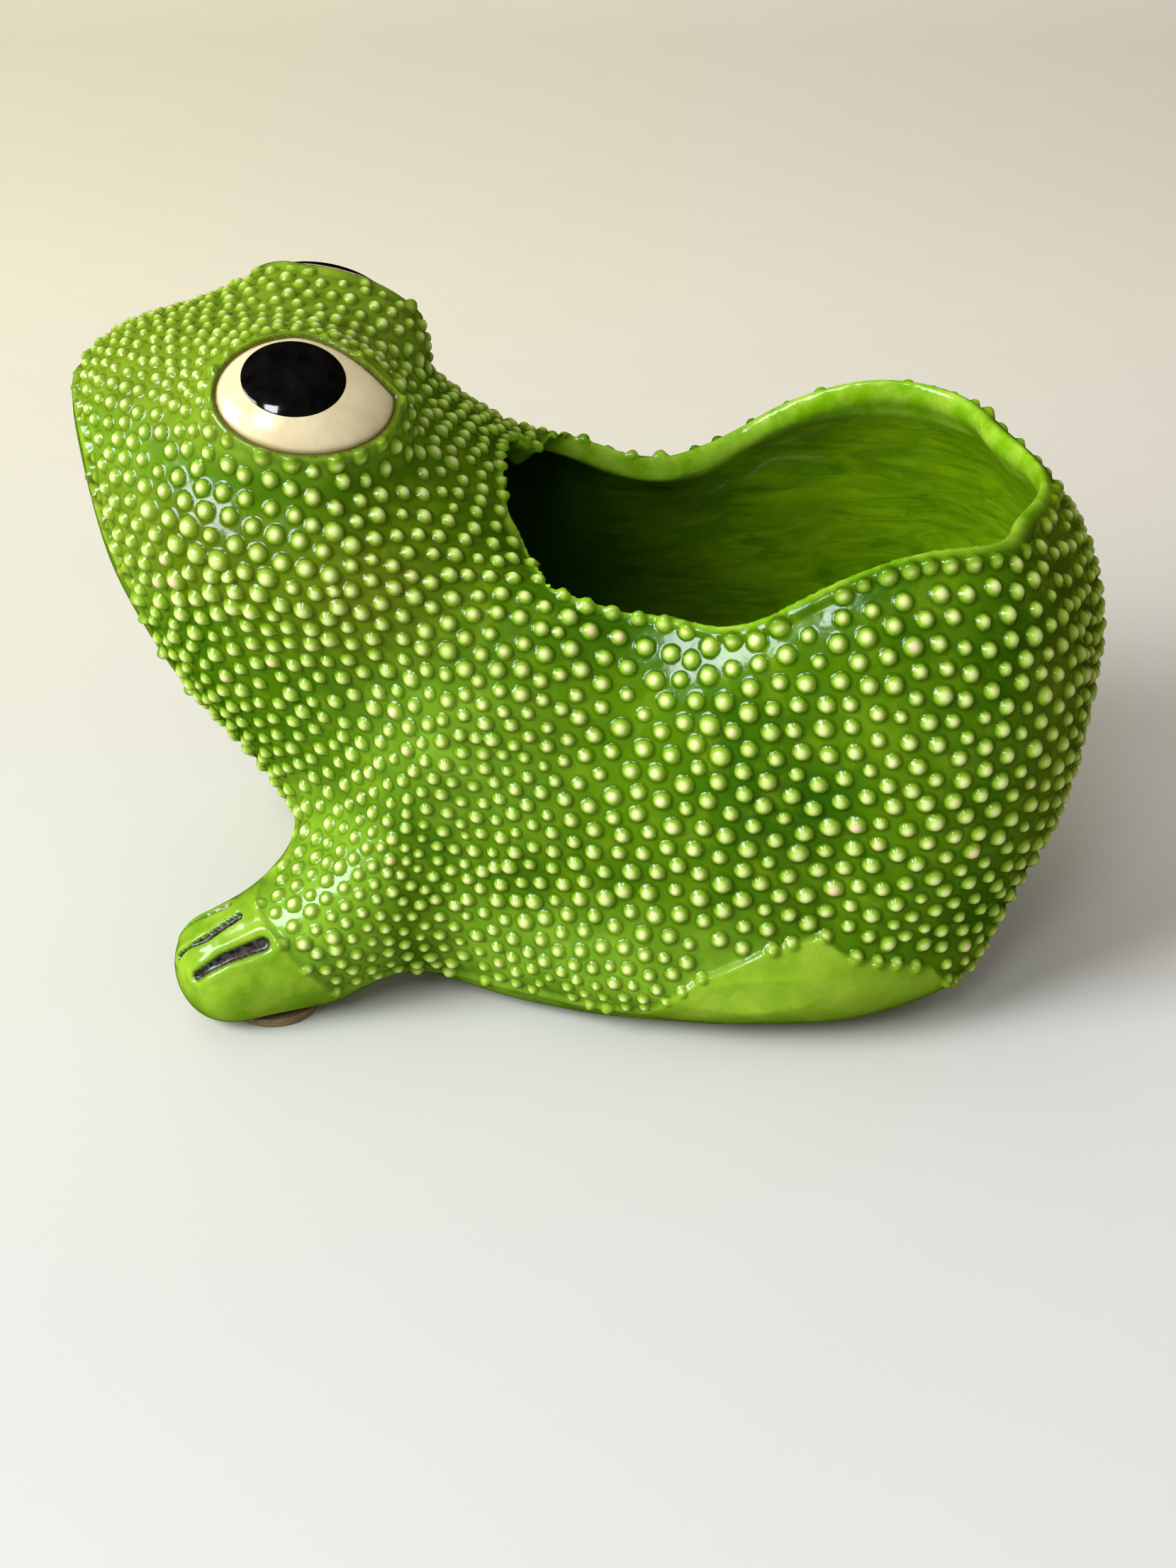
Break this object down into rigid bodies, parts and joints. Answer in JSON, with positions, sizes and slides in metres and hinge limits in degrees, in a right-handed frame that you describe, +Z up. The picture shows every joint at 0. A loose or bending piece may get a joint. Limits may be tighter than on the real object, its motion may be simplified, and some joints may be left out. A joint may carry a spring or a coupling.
{
  "type": "frog planter",
  "caption": "Hollow glazed ceramic frog sitting with its head up, covered in raised beads, open along the back as a planter, with domed eyes and round pads underneath.",
  "frame": {"origin": "on the table plane, under the middle of the frog's length and width", "axes": "the frog faces -X and +Z is up, so the frog's own left side is towards -Y"},
  "size_m": [0.2242, 0.1288, 0.1485],
  "materials": {
    "green_glaze": "gloss",
    "eye_glaze": "gloss",
    "pupil_glaze": "gloss",
    "pad_rubber": "satin"
  },
  "bodies": {
    "root": {"body": "green_glaze", "left_eye": "eye_glaze", "right_eye": "eye_glaze", "left_pupil": "pupil_glaze", "right_pupil": "pupil_glaze", "front_left_pad": "pad_rubber", "front_right_pad": "pad_rubber", "rear_left_pad": "pad_rubber", "rear_right_pad": "pad_rubber"}
  },
  "joints": []
}
